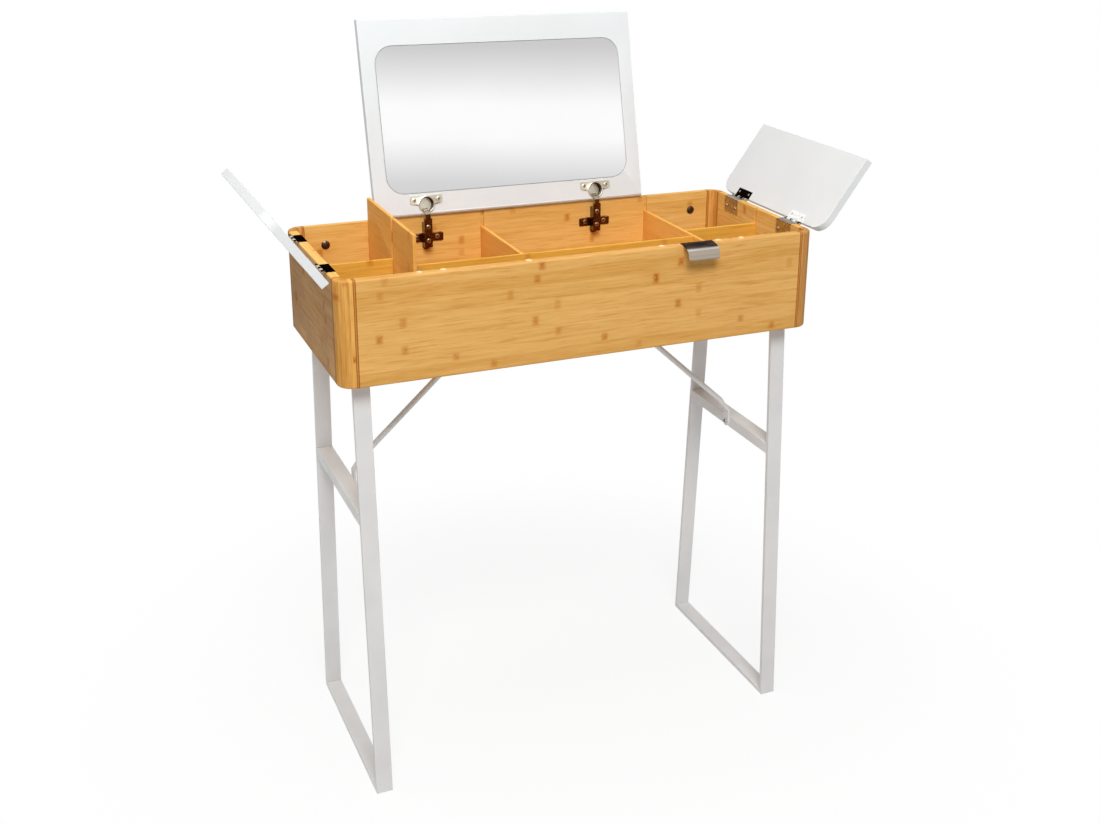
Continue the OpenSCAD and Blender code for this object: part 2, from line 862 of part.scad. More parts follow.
// The leaf screwed to the wall's inner face: it crosses the rim to its knuckles
module box_leaf() {
    step = butt_l / knuckles;
    difference() {
        union() {
            barrel(0);
            translate([in_w - leaf_t, -butt_l / 2, rim_z - leaf_t])
                cube([half_w + 0.2 - in_w + leaf_t, butt_l, leaf_t]);
            for (i = [0 : 2 : knuckles - 1])
                translate([half_w, -butt_l / 2 + i * step + 0.15, rim_z - leaf_t])
                    cube([barrel_r, step - 0.3, leaf_t]);
            translate([in_w - leaf_t, -butt_l / 2, rim_z - leaf_h])
                cube([leaf_t, butt_l, leaf_h]);
        }
        barrel_bore();
        for (s = [-1, 1]) translate([in_w - leaf_t - 1, s * leaf_pitch / 2, rim_z - leaf_h * 0.64])
            rotate([0, 90, 0]) cylinder(r = 1.8, h = leaf_t + 2);
    }
}

// The leaf screwed to the lid's inner face
module lid_leaf() {
    step = butt_l / knuckles;
    leaf_z = lid_z - leaf_t;
    difference() {
        union() {
            barrel(1);
            for (i = [1 : 2 : knuckles - 1])
                translate([half_w - 0.2, -butt_l / 2 + i * step + 0.15, leaf_z])
                    cube([barrel_r, step - 0.3, leaf_t]);
            translate([half_w - lid_leaf_w, -butt_l / 2, leaf_z])
                cube([lid_leaf_w - 0.1, butt_l, leaf_t]);
        }
        barrel_bore();
        for (s = [-1, 1]) translate([half_w - lid_leaf_w * 0.55, s * leaf_pitch / 2, leaf_z - 1])
            cylinder(r = 1.8, h = leaf_t + 2);
    }
}

module hinge_pin() {
    translate([barrel_x, -butt_l / 2 + 0.2, barrel_z]) rotate([-90, 0, 0])
        cylinder(r = butt_pin_r, h = butt_l - 0.4);
}

module box_leaf_screws() {
    for (s = [-1, 1]) translate([in_w - leaf_t - screw_seat, s * leaf_pitch / 2, rim_z - leaf_h * 0.64])
        rotate([0, -90, 0]) dome_screw(screw_r, 1.6, leaf_t);
}

// Countersunk screws, flush with the leaf
module lid_leaf_screws() {
    for (s = [-1, 1]) translate([half_w - lid_leaf_w * 0.55, s * leaf_pitch / 2, lid_z - leaf_t])
        cylinder(r = 1.7, h = leaf_t - screw_seat);
}

module right_box_leaves() {
    color("silver") at_butts() box_leaf();
}

module right_lid_leaves() {
    color("silver") open_right() at_butts() lid_leaf();
}

module right_hinge_pins() {
    color("gray") at_butts() hinge_pin();
}

module right_box_screws() {
    color("gray") at_butts() box_leaf_screws();
}

module right_lid_screws() {
    color("gray") open_right() at_butts() lid_leaf_screws();
}

module left_box_leaves() {
    color("silver") mirror([1, 0, 0]) at_butts() box_leaf();
}

module left_lid_leaves() {
    color("silver") open_left() mirror([1, 0, 0]) at_butts() lid_leaf();
}

module left_hinge_pins() {
    color("gray") mirror([1, 0, 0]) at_butts() hinge_pin();
}

module left_box_screws() {
    color("gray") mirror([1, 0, 0]) at_butts() box_leaf_screws();
}

module left_lid_screws() {
    color("gray") open_left() mirror([1, 0, 0]) at_butts() lid_leaf_screws();
}

front_panel();
back_panel();
left_panel();
right_panel();
bottom_panel();
front_left_post();
front_right_post();
back_left_post();
back_right_post();
tall_divider();
centre_divider();
right_divider();
left_long_board();
centre_long_board();
right_long_board();
pull();
rim_pads();
back_wall_screws();
left_front_leg();
left_back_leg();
left_floor_rail();
left_top_rail();
left_crossbar();
right_front_leg();
right_back_leg();
right_floor_rail();
right_top_rail();
right_crossbar();
left_brace();
right_brace();
brace_bolts();
frame_screws();
hinge_plates();
plate_screws();
hinge_arms();
arm_screws();
centre_lid();
mirror_plate();  // mirror
hinge_cups();
cup_screws();
cup_pins();
left_lid();
left_box_leaves();
left_lid_leaves();
left_hinge_pins();
left_box_screws();
left_lid_screws();
right_lid();
right_box_leaves();
right_lid_leaves();
right_hinge_pins();
right_box_screws();
right_lid_screws();
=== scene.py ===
"""Vanity table: bamboo box, white lids with a mirror, nickel hinges and white steel legs."""

import json
import math

import bmesh
import bpy
from mathutils import Matrix, Vector


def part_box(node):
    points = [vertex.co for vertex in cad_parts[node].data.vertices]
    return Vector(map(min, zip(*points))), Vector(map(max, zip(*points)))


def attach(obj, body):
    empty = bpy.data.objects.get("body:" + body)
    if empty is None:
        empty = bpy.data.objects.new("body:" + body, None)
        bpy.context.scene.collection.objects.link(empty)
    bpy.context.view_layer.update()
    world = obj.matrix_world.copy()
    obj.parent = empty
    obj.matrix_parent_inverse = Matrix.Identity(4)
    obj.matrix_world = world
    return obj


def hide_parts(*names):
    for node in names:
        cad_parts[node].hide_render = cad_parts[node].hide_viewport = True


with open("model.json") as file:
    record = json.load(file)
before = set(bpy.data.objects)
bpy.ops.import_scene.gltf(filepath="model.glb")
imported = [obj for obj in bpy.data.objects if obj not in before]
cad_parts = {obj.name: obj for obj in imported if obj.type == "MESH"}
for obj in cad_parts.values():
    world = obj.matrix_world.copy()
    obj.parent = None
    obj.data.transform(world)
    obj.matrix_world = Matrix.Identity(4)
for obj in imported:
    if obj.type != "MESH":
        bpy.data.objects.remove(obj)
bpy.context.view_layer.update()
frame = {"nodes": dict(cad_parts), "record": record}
nodes = frame["nodes"]
record = frame["record"]
BODY_OF = {node: body for body, names in record["behaviour"]["bodies"].items() for node in names}
OPENED = {joint["child"]: math.radians(joint["range_deg"][1]) for joint in record["behaviour"]["joints"]}

# Where the panels meet the corner posts
POST_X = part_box("front_panel")[1].x
POST_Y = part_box("left_panel")[1].y

# A darker strip on a panel's edge beside the post, between two dark lines
EDGE_STRIP = 0.0034
# From one node mark of the bamboo to the next
MARK_SPACING = 0.22

RIM_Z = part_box("front_panel")[1].z
# The top of the mounting plates' wings
WING_TOP = RIM_Z - 0.0249

# The pull's outer profile from its foot on the rim to the tip of its front
PULL_X = (0.1390, 0.1888)
PULL_THICK = 0.0012
PULL_PATH = [Vector((0.0, y / 1000, RIM_Z + z / 1000)) for y, z in (
    (-142.0, 1.25), (-147.0, 1.2), (-151.5, 0.9), (-155.5, 0.1), (-159.0, -0.9), (-162.3, -2.2),
    (-165.2, -4.0), (-167.2, -6.3), (-168.6, -9.0), (-169.7, -12.0), (-170.7, -15.0),
    (-171.6, -18.0))]
PULL_BEND = PULL_PATH[6]
PULL_CORNER = 0.0035

# The photograph's camera
IMAGE_W, IMAGE_H = 1100, 824
CAMERA_AT = Vector((-0.753, -1.815, 1.300))
CAMERA_YAW = math.radians(24.6746)
CAMERA_PITCH = math.radians(-19.1932)
CAMERA_ROLL = math.radians(0.965)
FOCAL_PX = 1377.1
CENTRE_PX = Vector((600.0, 337.0))

# The point that the lamps face
LIT = Vector((0.0, 0.0, 0.7))
# How strongly the world lights the object, where 1 is the white that the camera sees
AMBIENT = 0.295
# The floor takes the object's shadow as far as the first distance, and is plain white from the second
SHADOW_FADE = (0.35, 0.9)
FLOOR_HALF = 12.0

# The studio in front of the mirror: brightness by height, as sRGB values at heights in the mirror
STUDIO = ((0.0940, 208), (0.1126, 217), (0.1243, 232), (0.1361, 246), (0.1439, 254), (0.1537, 255),
          (0.1684, 255), (0.1762, 248), (0.1879, 235), (0.1997, 221), (0.2114, 207), (0.2506, 188))

# From one knuckle gap of a butt hinge to the next
KNUCKLE_PITCH = 0.0068

# A ray less turned to the studio wall than this doesn't meet it
LEAST_AHEAD = 0.05

# Edges sharper than this are broken by dress
BROKEN_FROM = math.radians(35)


def linear(r, g, b):
    """A colour given as 0 to 255 sRGB values, as linear RGBA."""
    def channel(v):
        v /= 255
        return v / 12.92 if v <= 0.04045 else ((v + 0.055) / 1.055) ** 2.4
    return (channel(r), channel(g), channel(b), 1.0)


EDGE_LINE = linear(118, 72, 30)


def rgba(sockets):
    return [socket for socket in sockets if socket.type == "RGBA"]


class Nodes:
    """Short ways to add and link the nodes of one material or world."""

    def __init__(self, owner):
        self.owner = owner
        owner.use_nodes = True
        self.tree = owner.node_tree
        self.shader = self.tree.nodes.get("Principled BSDF")

    def add(self, kind, **values):
        node = self.tree.nodes.new(kind)
        for key, value in values.items():
            setattr(node, key, value)
        return node

    def link(self, source, target):
        """Link an output to a socket, or set the socket to a number or colour."""
        if isinstance(source, (int, float, tuple)):
            target.default_value = source
        else:
            self.tree.links.new(source, target)

    def put(self, name, value):
        """Set or link one of the shader's own sockets."""
        self.link(value, self.shader.inputs[name])

    def math(self, operation, a, b=0.0):
        node = self.add("ShaderNodeMath", operation=operation)
        self.link(a, node.inputs[0])
        self.link(b, node.inputs[1])
        return node.outputs[0]

    def where(self):
        """The object coordinates as one vector, in metres."""
        return self.add("ShaderNodeTexCoord").outputs["Object"]

    def split(self):
        """The three object coordinates, in metres."""
        xyz = self.add("ShaderNodeSeparateXYZ")
        self.link(self.where(), xyz.inputs[0])
        return {"x": xyz.outputs[0], "y": xyz.outputs[1], "z": xyz.outputs[2]}

    def seen(self):
        """1 for rays that come from the camera, a reflection or glass, and 0 for light on a surface."""
        path = self.add("ShaderNodeLightPath")
        seen = self.math("MAXIMUM", path.outputs["Is Camera Ray"], path.outputs["Is Glossy Ray"])
        return self.math("MAXIMUM", seen, path.outputs["Is Transmission Ray"])

    def vector(self, x, y, z):
        node = self.add("ShaderNodeCombineXYZ")
        for socket, value in zip(node.inputs, (x, y, z)):
            self.link(value, socket)
        return node.outputs[0]

    def drawn(self, p, x, y, z):
        """The coordinates, each multiplied by its own number."""
        return self.vector(*(self.math("MULTIPLY", p[axis], k) for axis, k in zip("xyz", (x, y, z))))

    def noise(self, vector, scale, detail=3.0, rough=0.5):
        node = self.add("ShaderNodeTexNoise")
        self.link(vector, node.inputs["Vector"])
        self.link(scale, node.inputs["Scale"])
        self.link(detail, node.inputs["Detail"])
        self.link(rough, node.inputs["Roughness"])
        return node.outputs[0]

    def ramp(self, value, low, high, out_low=0.0, out_high=1.0, smooth=True):
        node = self.add("ShaderNodeMapRange")
        node.interpolation_type = "SMOOTHSTEP" if smooth else "LINEAR"
        self.link(value, node.inputs["Value"])
        for name, v in (("From Min", low), ("From Max", high), ("To Min", out_low), ("To Max", out_high)):
            self.link(v, node.inputs[name])
        return node.outputs["Result"]

    def mix(self, factor, a, b, blend="MIX"):
        node = self.add("ShaderNodeMix", data_type="RGBA", blend_type=blend)
        self.link(factor, node.inputs["Factor"])
        for socket, value in zip(rgba(node.inputs), (a, b)):
            self.link(value, socket)
        return rgba(node.outputs)[0]

    def bump(self, height, distance, strength):
        node = self.add("ShaderNodeBump")
        self.link(height, node.inputs["Height"])
        self.link(distance, node.inputs["Distance"])
        self.link(strength, node.inputs["Strength"])
        self.put("Normal", node.outputs[0])


def scaled(colour, *factors):
    """A colour with its red, green and blue multiplied, by one number or by three."""
    factors = factors * 3 if len(factors) == 1 else factors
    return tuple(c * k for c, k in zip(colour[:3], factors)) + (1.0,)


def bamboo(name, grain, stack, depth, pale, deep, strip=0.019, seed=0.0, figure=1.0, joint=None,
           shade=None):
    """Laminated bamboo: strips with their own tone, wavy fibres, ragged node marks and edge joints. Where
    shade is given, the face at that place is darkened with a blotchy purple-grey painted shade.
    """
    n = Nodes(bpy.data.materials.new(name))
    p = n.split()
    u, v, w = p[grain], p[stack], p[depth]
    wave = n.noise(n.vector(n.math("MULTIPLY", u, 9.0), n.math("MULTIPLY", v, 14.0), seed), 1.0, 2.0)
    v = n.math("ADD", v, n.math("MULTIPLY", n.math("SUBTRACT", wave, 0.5), 0.006))
    across = n.math("ADD", n.math("DIVIDE", v, strip), seed)
    cell = n.add("ShaderNodeTexVoronoi", voronoi_dimensions="1D", feature="F1")
    edge = n.add("ShaderNodeTexVoronoi", voronoi_dimensions="1D", feature="DISTANCE_TO_EDGE")
    for node in (cell, edge):
        n.link(across, node.inputs["W"])
        node.inputs["Scale"].default_value = 1.0
        node.inputs["Randomness"].default_value = 0.35
    tint = n.add("ShaderNodeSeparateColor")
    n.link(cell.outputs["Color"], tint.inputs[0])
    tone, shift, spare = tint.outputs[0], tint.outputs[1], tint.outputs[2]
    seam = n.ramp(edge.outputs["Distance"], 0.0, 0.05, 1.0, 0.0)

    def streaks(length, width, detail, rough):
        """Noise drawn out along the grain; length and width are of one streak, in metres."""
        at = n.vector(n.math("DIVIDE", along, length), n.math("DIVIDE", v, width),
                      n.math("DIVIDE", w, width))
        return n.noise(at, 1.0, detail, rough)

    along = n.math("ADD", u, n.math("MULTIPLY", shift, 3.0))
    broad = streaks(0.13, 0.0075, 2.0, 0.55)
    middle = streaks(0.045, 0.0023, 2.0, 0.6)
    fine = streaks(0.022, 0.0007, 2.0, 0.6)

    # Node marks: one on each strip in every spacing, made of short dashes
    place = n.math("ADD", n.math("DIVIDE", along, MARK_SPACING), n.math("MULTIPLY", spare, 0.8))
    luck = n.add("ShaderNodeTexWhiteNoise", noise_dimensions="2D")
    n.link(n.vector(n.math("FLOOR", place), n.math("MULTIPLY", tone, 37.0), 0.0), luck.inputs["Vector"])
    strength = n.ramp(luck.outputs["Value"], 0.05, 0.95, 0.35, 1.0, smooth=False)
    ragged = n.math("SUBTRACT", n.noise(n.vector(u, v, w), 420.0, 2.0, 0.6), 0.5)
    off = n.math("SUBTRACT", n.math("FRACT", place), 0.5)
    off = n.math("ADD", n.math("ABSOLUTE", off), n.math("MULTIPLY", ragged, 0.022))
    depth_in = n.math("ADD", edge.outputs["Distance"], n.math("MULTIPLY", ragged, 0.22))
    patch = n.math("MULTIPLY", n.ramp(off, 0.012, 0.032, 1.0, 0.0), n.ramp(depth_in, 0.06, 0.24))
    core = n.math("MULTIPLY", n.ramp(off, 0.004, 0.020, 1.0, 0.0), n.ramp(depth_in, 0.16, 0.34))
    dash = n.ramp(streaks(0.0042, 0.0013, 1.0, 0.5), 0.40, 0.58)
    patch = n.math("MULTIPLY", patch, strength)
    core = n.math("MULTIPLY", n.math("MULTIPLY", core, dash), n.math("MULTIPLY", strength, strength))
    halo = n.math("MULTIPLY", n.ramp(off, 0.01, 0.15, 1.0, 0.0), strength)

    dark = scaled(deep, 0.80, 0.46, 0.20)
    olive = scaled(deep, 0.80, 0.74, 0.48)
    light = tuple(min(1.0, c) for c in scaled(pale, 1.10, 1.14, 1.26))
    colour = n.mix(n.ramp(tone, 0.15, 0.85, 0.0, 0.7), pale, deep)
    colour = n.mix(n.ramp(broad, 0.50, 0.72, 0.0, 0.42 * figure), colour, olive)
    colour = n.mix(n.ramp(broad, 0.48, 0.28, 0.0, 0.50 * figure), colour, light)
    colour = n.mix(n.ramp(middle, 0.52, 0.74, 0.0, 0.40 * figure), colour, dark)
    colour = n.mix(n.ramp(middle, 0.46, 0.28, 0.0, 0.36 * figure), colour, light)
    colour = n.mix(n.ramp(fine, 0.50, 0.75, 0.0, 0.26 * figure), colour, dark)
    colour = n.mix(n.math("MULTIPLY", halo, 0.12), colour, olive)
    colour = n.mix(n.math("MULTIPLY", patch, 0.55), colour, dark)
    colour = n.mix(n.math("MULTIPLY", core, 0.90), colour, scaled(dark, 0.70, 0.60, 0.60))
    colour = n.mix(n.math("MULTIPLY", seam, 0.16), colour, dark)
    if joint:
        axis, at = joint
        inside = n.math("SUBTRACT", at, n.math("ABSOLUTE", p[axis]))
        colour = n.mix(n.ramp(inside, EDGE_STRIP, EDGE_STRIP + 0.0004, 0.75, 0.0), colour, dark)
        for line in (0.0003, EDGE_STRIP):
            near = n.math("ABSOLUTE", n.math("SUBTRACT", inside, line))
            colour = n.mix(n.ramp(near, 0.0003, 0.0008, 0.85, 0.0), colour, EDGE_LINE)
    # Painted shade: a blotchy purple-grey wash multiplies the colour of the face at the shade's place,
    # standing in for its shade and a bluish painted reflection.
    if shade:
        shade_blotches = n.ramp(n.noise(n.vector(u, v, w), 16.0, 3.0), 0.35, 0.70)
        shade_wash = n.mix(shade_blotches, (0.60, 0.56, 0.78, 1.0), (0.72, 0.68, 0.86, 1.0))
        shaded_colour = n.mix(1.0, colour, shade_wash, "MULTIPLY")
        axis, at = shade
        colour = n.mix(n.ramp(p[axis], at + 0.0002, at + 0.0006, 1.0, 0.0), colour, shaded_colour)
    n.put("Base Color", colour)
    n.put("Roughness", n.ramp(middle, 0.3, 0.7, 0.50, 0.62))
    n.put("Specular IOR Level", 0.06)
    height = n.math("SUBTRACT", n.math("MULTIPLY", fine, 0.3), n.math("MULTIPLY", seam, 0.5))
    n.bump(height, 0.0002, 0.4)
    return n.owner


def lacquered_board(name, colour):
    """White lacquer on board, with a faint mottle."""
    n = Nodes(bpy.data.materials.new(name))
    mottle = n.noise(n.where(), 9.0)
    n.put("Base Color", n.mix(n.ramp(mottle, 0.35, 0.7), colour, scaled(colour, 0.965)))
    n.put("Roughness", n.ramp(mottle, 0.3, 0.7, 0.46, 0.56))
    n.put("Specular IOR Level", 0.3)
    return n.owner


def powder_coat(name, colour):
    """Satin powder coat on steel, with its fine orange peel."""
    n = Nodes(bpy.data.materials.new(name))
    at = n.where()
    mottle = n.noise(at, 14.0, 3.0, 0.55)
    n.put("Base Color", n.mix(n.ramp(mottle, 0.3, 0.75), colour, scaled(colour, 0.94)))
    peel = n.noise(at, 1400.0, 2.0)
    n.put("Roughness", n.ramp(mottle, 0.3, 0.7, 0.40, 0.52))
    n.bump(peel, 0.00008, 0.35)
    return n.owner


def metal(name, colour, low, high, scale, highlight_band=None, tint=1.0):
    """Plated steel with roughness from low to high. The highlight band is heights between which a painted
    highlight brightens it, below the wings' top.
    """
    n = Nodes(bpy.data.materials.new(name))
    at = n.where()
    grain = n.noise(at, scale, 4.0, 0.6)
    mixed = n.mix(n.ramp(grain, 0.3, 0.7), colour, scaled(colour, 0.80))
    # Painted highlight along the wings' top edge, broken up by noise.
    if highlight_band:
        z = n.split()["z"]
        below_top = n.ramp(z, WING_TOP + 0.0003, WING_TOP + 0.0006, 1.0, 0.0)
        broken = n.ramp(n.noise(at, 170.0, 2.0), 0.38, 0.52, 0.25, 1.0)
        level = n.math("MULTIPLY", n.math("MULTIPLY", n.ramp(z, *highlight_band), below_top), broken)
        mixed = n.mix(level, mixed, linear(255, 238, 222))
    n.put("Base Color", mixed)
    n.put("Specular Tint", (tint, tint, tint, 1.0))
    n.put("Metallic", 1.0)
    n.put("Roughness", n.ramp(grain, 0.3, 0.7, low, high))
    n.bump(grain, 0.00003, 0.4)
    return n.owner


def brushed_pull(name):
    """Brushed steel with painted reflections: dark on top, a painted highlight along the bend, grey in
    front and darker towards the lower edge.
    """
    n = Nodes(bpy.data.materials.new(name))
    p = n.split()
    grain = n.noise(n.drawn(p, 9.0, 700.0, 700.0), 1.0, 3.0, 0.6)
    streak = n.noise(n.drawn(p, 26.0, 90.0, 160.0), 1.0)
    dark_top_reflection = n.mix(n.ramp(streak, 0.42, 0.62), linear(38, 32, 34), linear(84, 70, 62))
    behind_bend = n.ramp(p["y"], PULL_BEND.y - 0.001, PULL_BEND.y + 0.005)
    colour = n.mix(behind_bend, linear(206, 192, 174), dark_top_reflection)
    # Painted highlight along the bend.
    near = n.math("ABSOLUTE", n.math("SUBTRACT", p["z"], PULL_BEND.z))
    highlight_band = n.math("MULTIPLY", n.ramp(near, 0.0004, 0.0016, 1.0, 0.0),
                  n.ramp(streak, 0.30, 0.60, 0.65, 1.0))
    colour = n.mix(highlight_band, colour, linear(253, 250, 246))
    low = n.ramp(p["z"], PULL_PATH[-1].z, PULL_PATH[-1].z + 0.003, 0.45, 0.0)
    colour = n.mix(low, colour, linear(96, 82, 70))
    n.put("Base Color", n.mix(n.ramp(grain, 0.3, 0.75, 0.0, 0.30), colour, linear(92, 84, 78)))
    n.put("Metallic", 0.85)
    n.put("Specular Tint", (0.35, 0.33, 0.32, 1.0))
    n.put("Roughness", n.ramp(grain, 0.3, 0.7, 0.30, 0.42))
    n.bump(grain, 0.00005, 0.35)
    return n.owner


def knuckle_metal(name, pale, dark):
    """Nickel leaf whose part on the rim is cut across by the barrel's knuckle gaps, painted dark as shade.
    """
    n = Nodes(bpy.data.materials.new(name))
    p = n.split()
    grain = n.noise(n.where(), 260.0, 3.0, 0.6)
    # Painted shade in the gaps between the barrel's knuckles, on the part on the rim.
    bands = n.math("FRACT", n.math("DIVIDE", p["y"], KNUCKLE_PITCH))
    gap_shade = n.ramp(n.math("ABSOLUTE", n.math("SUBTRACT", bands, 0.5)), 0.17, 0.27, 1.0, 0.0)
    on_rim = n.ramp(p["z"], RIM_Z - 0.0016, RIM_Z - 0.0010)
    colour = n.mix(n.ramp(grain, 0.3, 0.7, 0.0, 0.4), pale, dark)
    n.put("Base Color", n.mix(n.math("MULTIPLY", gap_shade, on_rim), colour, dark))
    n.put("Metallic", 1.0)
    n.put("Roughness", n.ramp(grain, 0.3, 0.7, 0.22, 0.34))
    n.bump(gap_shade, 0.0004, 0.6)
    return n.owner


def looking_glass(name):
    """Silvered glass with a trace of smear in its gloss."""
    n = Nodes(bpy.data.materials.new(name))
    smear = n.noise(n.where(), 5.0, 3.0, 0.6)
    n.put("Base Color", n.mix(n.ramp(smear, 0.3, 0.7), linear(253, 253, 253), linear(250, 250, 250)))
    n.put("Metallic", 1.0)
    n.put("Roughness", n.ramp(smear, 0.3, 0.7, 0.01, 0.03))
    return n.owner


def soft_plastic(name, colour, rough):
    """Moulded plastic or ground glass, with a fine grain."""
    n = Nodes(bpy.data.materials.new(name))
    grain = n.noise(n.where(), 700.0, 2.0)
    n.put("Base Color", n.mix(n.ramp(grain, 0.3, 0.7), colour, scaled(colour, 0.9)))
    n.put("Roughness", n.ramp(grain, 0.3, 0.7, rough - 0.05, rough + 0.05))
    n.bump(grain, 0.00005, 0.3)
    return n.owner


PALE, DEEP = linear(224, 173, 100), linear(210, 156, 80)
INNER_PALE, INNER_DEEP = linear(240, 192, 110), linear(228, 174, 88)
POST_PALE, POST_DEEP = linear(228, 172, 92), linear(200, 142, 66)
# The front right post's bamboo is a darker copy of the other posts': painted shade.
SHADED_POST_PALE, SHADED_POST_DEEP = linear(206, 150, 84), linear(178, 124, 64)
DIVIDER_PALE, DIVIDER_DEEP = linear(242, 182, 94), linear(234, 172, 84)
GOLD_PALE, GOLD_DEEP = linear(230, 176, 74), linear(216, 156, 50)

finish = {
    "front": bamboo("bamboo front", "x", "z", "y", PALE, DEEP, seed=3.3, joint=("x", POST_X)),
    "back": bamboo("bamboo back", "x", "z", "y", INNER_PALE, INNER_DEEP, seed=8.1, joint=("x", POST_X)),
    # The left panel's outer face takes the painted shade.
    "left": bamboo("bamboo left", "y", "z", "x", INNER_PALE, INNER_DEEP, seed=5.7, joint=("y", POST_Y),
                   shade=("x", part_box("left_panel")[0].x)),
    "right": bamboo("bamboo right", "y", "z", "x", INNER_PALE, INNER_DEEP, seed=4.4, joint=("y", POST_Y)),
    "post": bamboo("bamboo post", "z", "x", "y", POST_PALE, POST_DEEP, strip=0.011,
                   seed=1.9, figure=1.4),
    # Painted shade: the front right post takes the darker copy of the post bamboo.
    "shaded post": bamboo("bamboo shaded post", "z", "x", "y", SHADED_POST_PALE, SHADED_POST_DEEP, strip=0.011,
                         seed=2.6, figure=1.4),
    "bottom": bamboo("bamboo bottom", "x", "y", "z", PALE, DEEP, seed=6.2),
    "divider": bamboo("bamboo divider", "y", "z", "x", DIVIDER_PALE, DIVIDER_DEEP, strip=0.024,
                      seed=2.2, figure=0.5),
    "long": bamboo("bamboo long board", "x", "z", "y", GOLD_PALE, GOLD_DEEP, strip=0.024,
                   seed=7.4, figure=0.8),
    # The side lids' lacquer is a slightly darker copy of the centre lid's, as painted shade, and the
    # centre lid's is a little bluish to offset the bamboo's warm bounce light.
    "lid": lacquered_board("white board", linear(228, 232, 233)),
    "side lid": lacquered_board("white side lid", linear(226, 228, 228)),
    # The front legs take the white steel; the other legs, rails, crossbars and braces take a lighter copy,
    # painted light that lifts them out of their shade.
    "steel": powder_coat("white steel", linear(221, 220, 219)),
    "lightened steel": powder_coat("white steel painted lighter", linear(231, 230, 229)),
    "nickel": metal("nickel", linear(214, 203, 186), 0.20, 0.32, 160.0),
    "flange": metal("flange nickel", linear(236, 228, 208), 0.34, 0.44, 160.0),
    "dark leaf": metal("dark leaf", linear(26, 18, 14), 0.45, 0.55, 220.0, tint=0.1),
    "pale leaf": metal("pale leaf", linear(250, 250, 248), 0.40, 0.50, 220.0),
    # The hinge arm and plate steel are dark brown, a painted reflection of the dark box that the nickel
    # would mirror.
    "hinge": metal("hinge steel", linear(112, 82, 56), 0.18, 0.30, 120.0),
    "knuckles": knuckle_metal("barrel nickel", linear(206, 194, 178), linear(36, 28, 22)),
    "screw": metal("screw steel", linear(186, 160, 128), 0.26, 0.40, 200.0),
    # The recess finish is darker: painted shade in the screws' cross recess.
    "recess": metal("screw recess shade", linear(112, 96, 80), 0.40, 0.60, 90.0),
    # The well finish is dark: painted shade on the cups' inner wall.
    "well": metal("cup well shade", linear(52, 44, 36), 0.40, 0.60, 90.0),
    # The plate steel takes a painted highlight band along the top of its wings.
    "plate": metal("plate steel", linear(112, 82, 56), 0.18, 0.30, 120.0,
                   highlight_band=(WING_TOP - 0.0021, WING_TOP - 0.0015)),
    "bolt": metal("zinc bolt", linear(196, 194, 190), 0.25, 0.40, 120.0),
    "black": metal("dark screw", linear(104, 88, 74), 0.28, 0.42, 150.0),
    "brushed": brushed_pull("brushed steel"),
    "mirror": looking_glass("mirror"),
    "glass edge": soft_plastic("ground glass", linear(190, 192, 194), 0.45),
    "pad": soft_plastic("clear pad", linear(240, 212, 158), 0.4),
}

FINISH_OF = {
    "front_panel": "front", "back_panel": "back", "left_panel": "left", "right_panel": "right",
    "bottom_panel": "bottom", "tall_divider": "divider", "centre_divider": "divider",
    "right_divider": "divider", "left_long_board": "long", "centre_long_board": "long",
    "right_long_board": "long", "pull": "brushed", "rim_pads": "pad",
    "back_wall_screws": "black", "brace_bolts": "bolt", "frame_screws": "bolt",
    "mirror": "mirror", "cup_pins": "bolt", "front_right_post": "shaded post", "centre_lid": "lid",
    "left_front_leg": "steel", "right_front_leg": "steel",
}


def finish_name(node):
    """The finish of a node, by its name."""
    if node in FINISH_OF:
        return FINISH_OF[node]
    if node.endswith("_post"):
        return "post"
    if node.endswith("_lid"):
        return "side lid"
    if node.endswith(("_leg", "_rail", "_crossbar", "_brace")):
        return "lightened steel"
    if node == "hinge_plates":
        return "plate"
    if node == "hinge_arms":
        return "hinge"
    if node == "right_box_leaves":
        return "knuckles"
    return "nickel"


def paint(obj, material):
    obj.data.materials.clear()
    obj.data.materials.append(material)


for node, obj in nodes.items():
    paint(obj, finish[finish_name(node)])


def body_piece(name, mesh, node, finishes):
    """A new piece that stands for a CAD node, on the node's body and with its finish."""
    piece = bpy.data.objects.new(name, mesh)
    bpy.context.scene.collection.objects.link(piece)
    for key in finishes:
        mesh.materials.append(finish[key])
    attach(piece, BODY_OF[node])
    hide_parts(node)


def finished(build, name, sharp_from):
    """The mesh of a bmesh, smooth but for edges sharper than sharp_from degrees."""
    mesh = bpy.data.meshes.new(name)
    build.to_mesh(mesh)
    build.free()
    mesh.shade_smooth()
    mesh.set_sharp_from_angle(angle=math.radians(sharp_from))
    return mesh


def welded(node):
    """The node's mesh as a bmesh, with its flat faces whole."""
    build = bmesh.new()
    build.from_mesh(nodes[node].data)
    bmesh.ops.remove_doubles(build, verts=build.verts, dist=2e-6)
    bmesh.ops.dissolve_limit(build, angle_limit=math.radians(0.5), verts=build.verts, edges=build.edges)
    return build


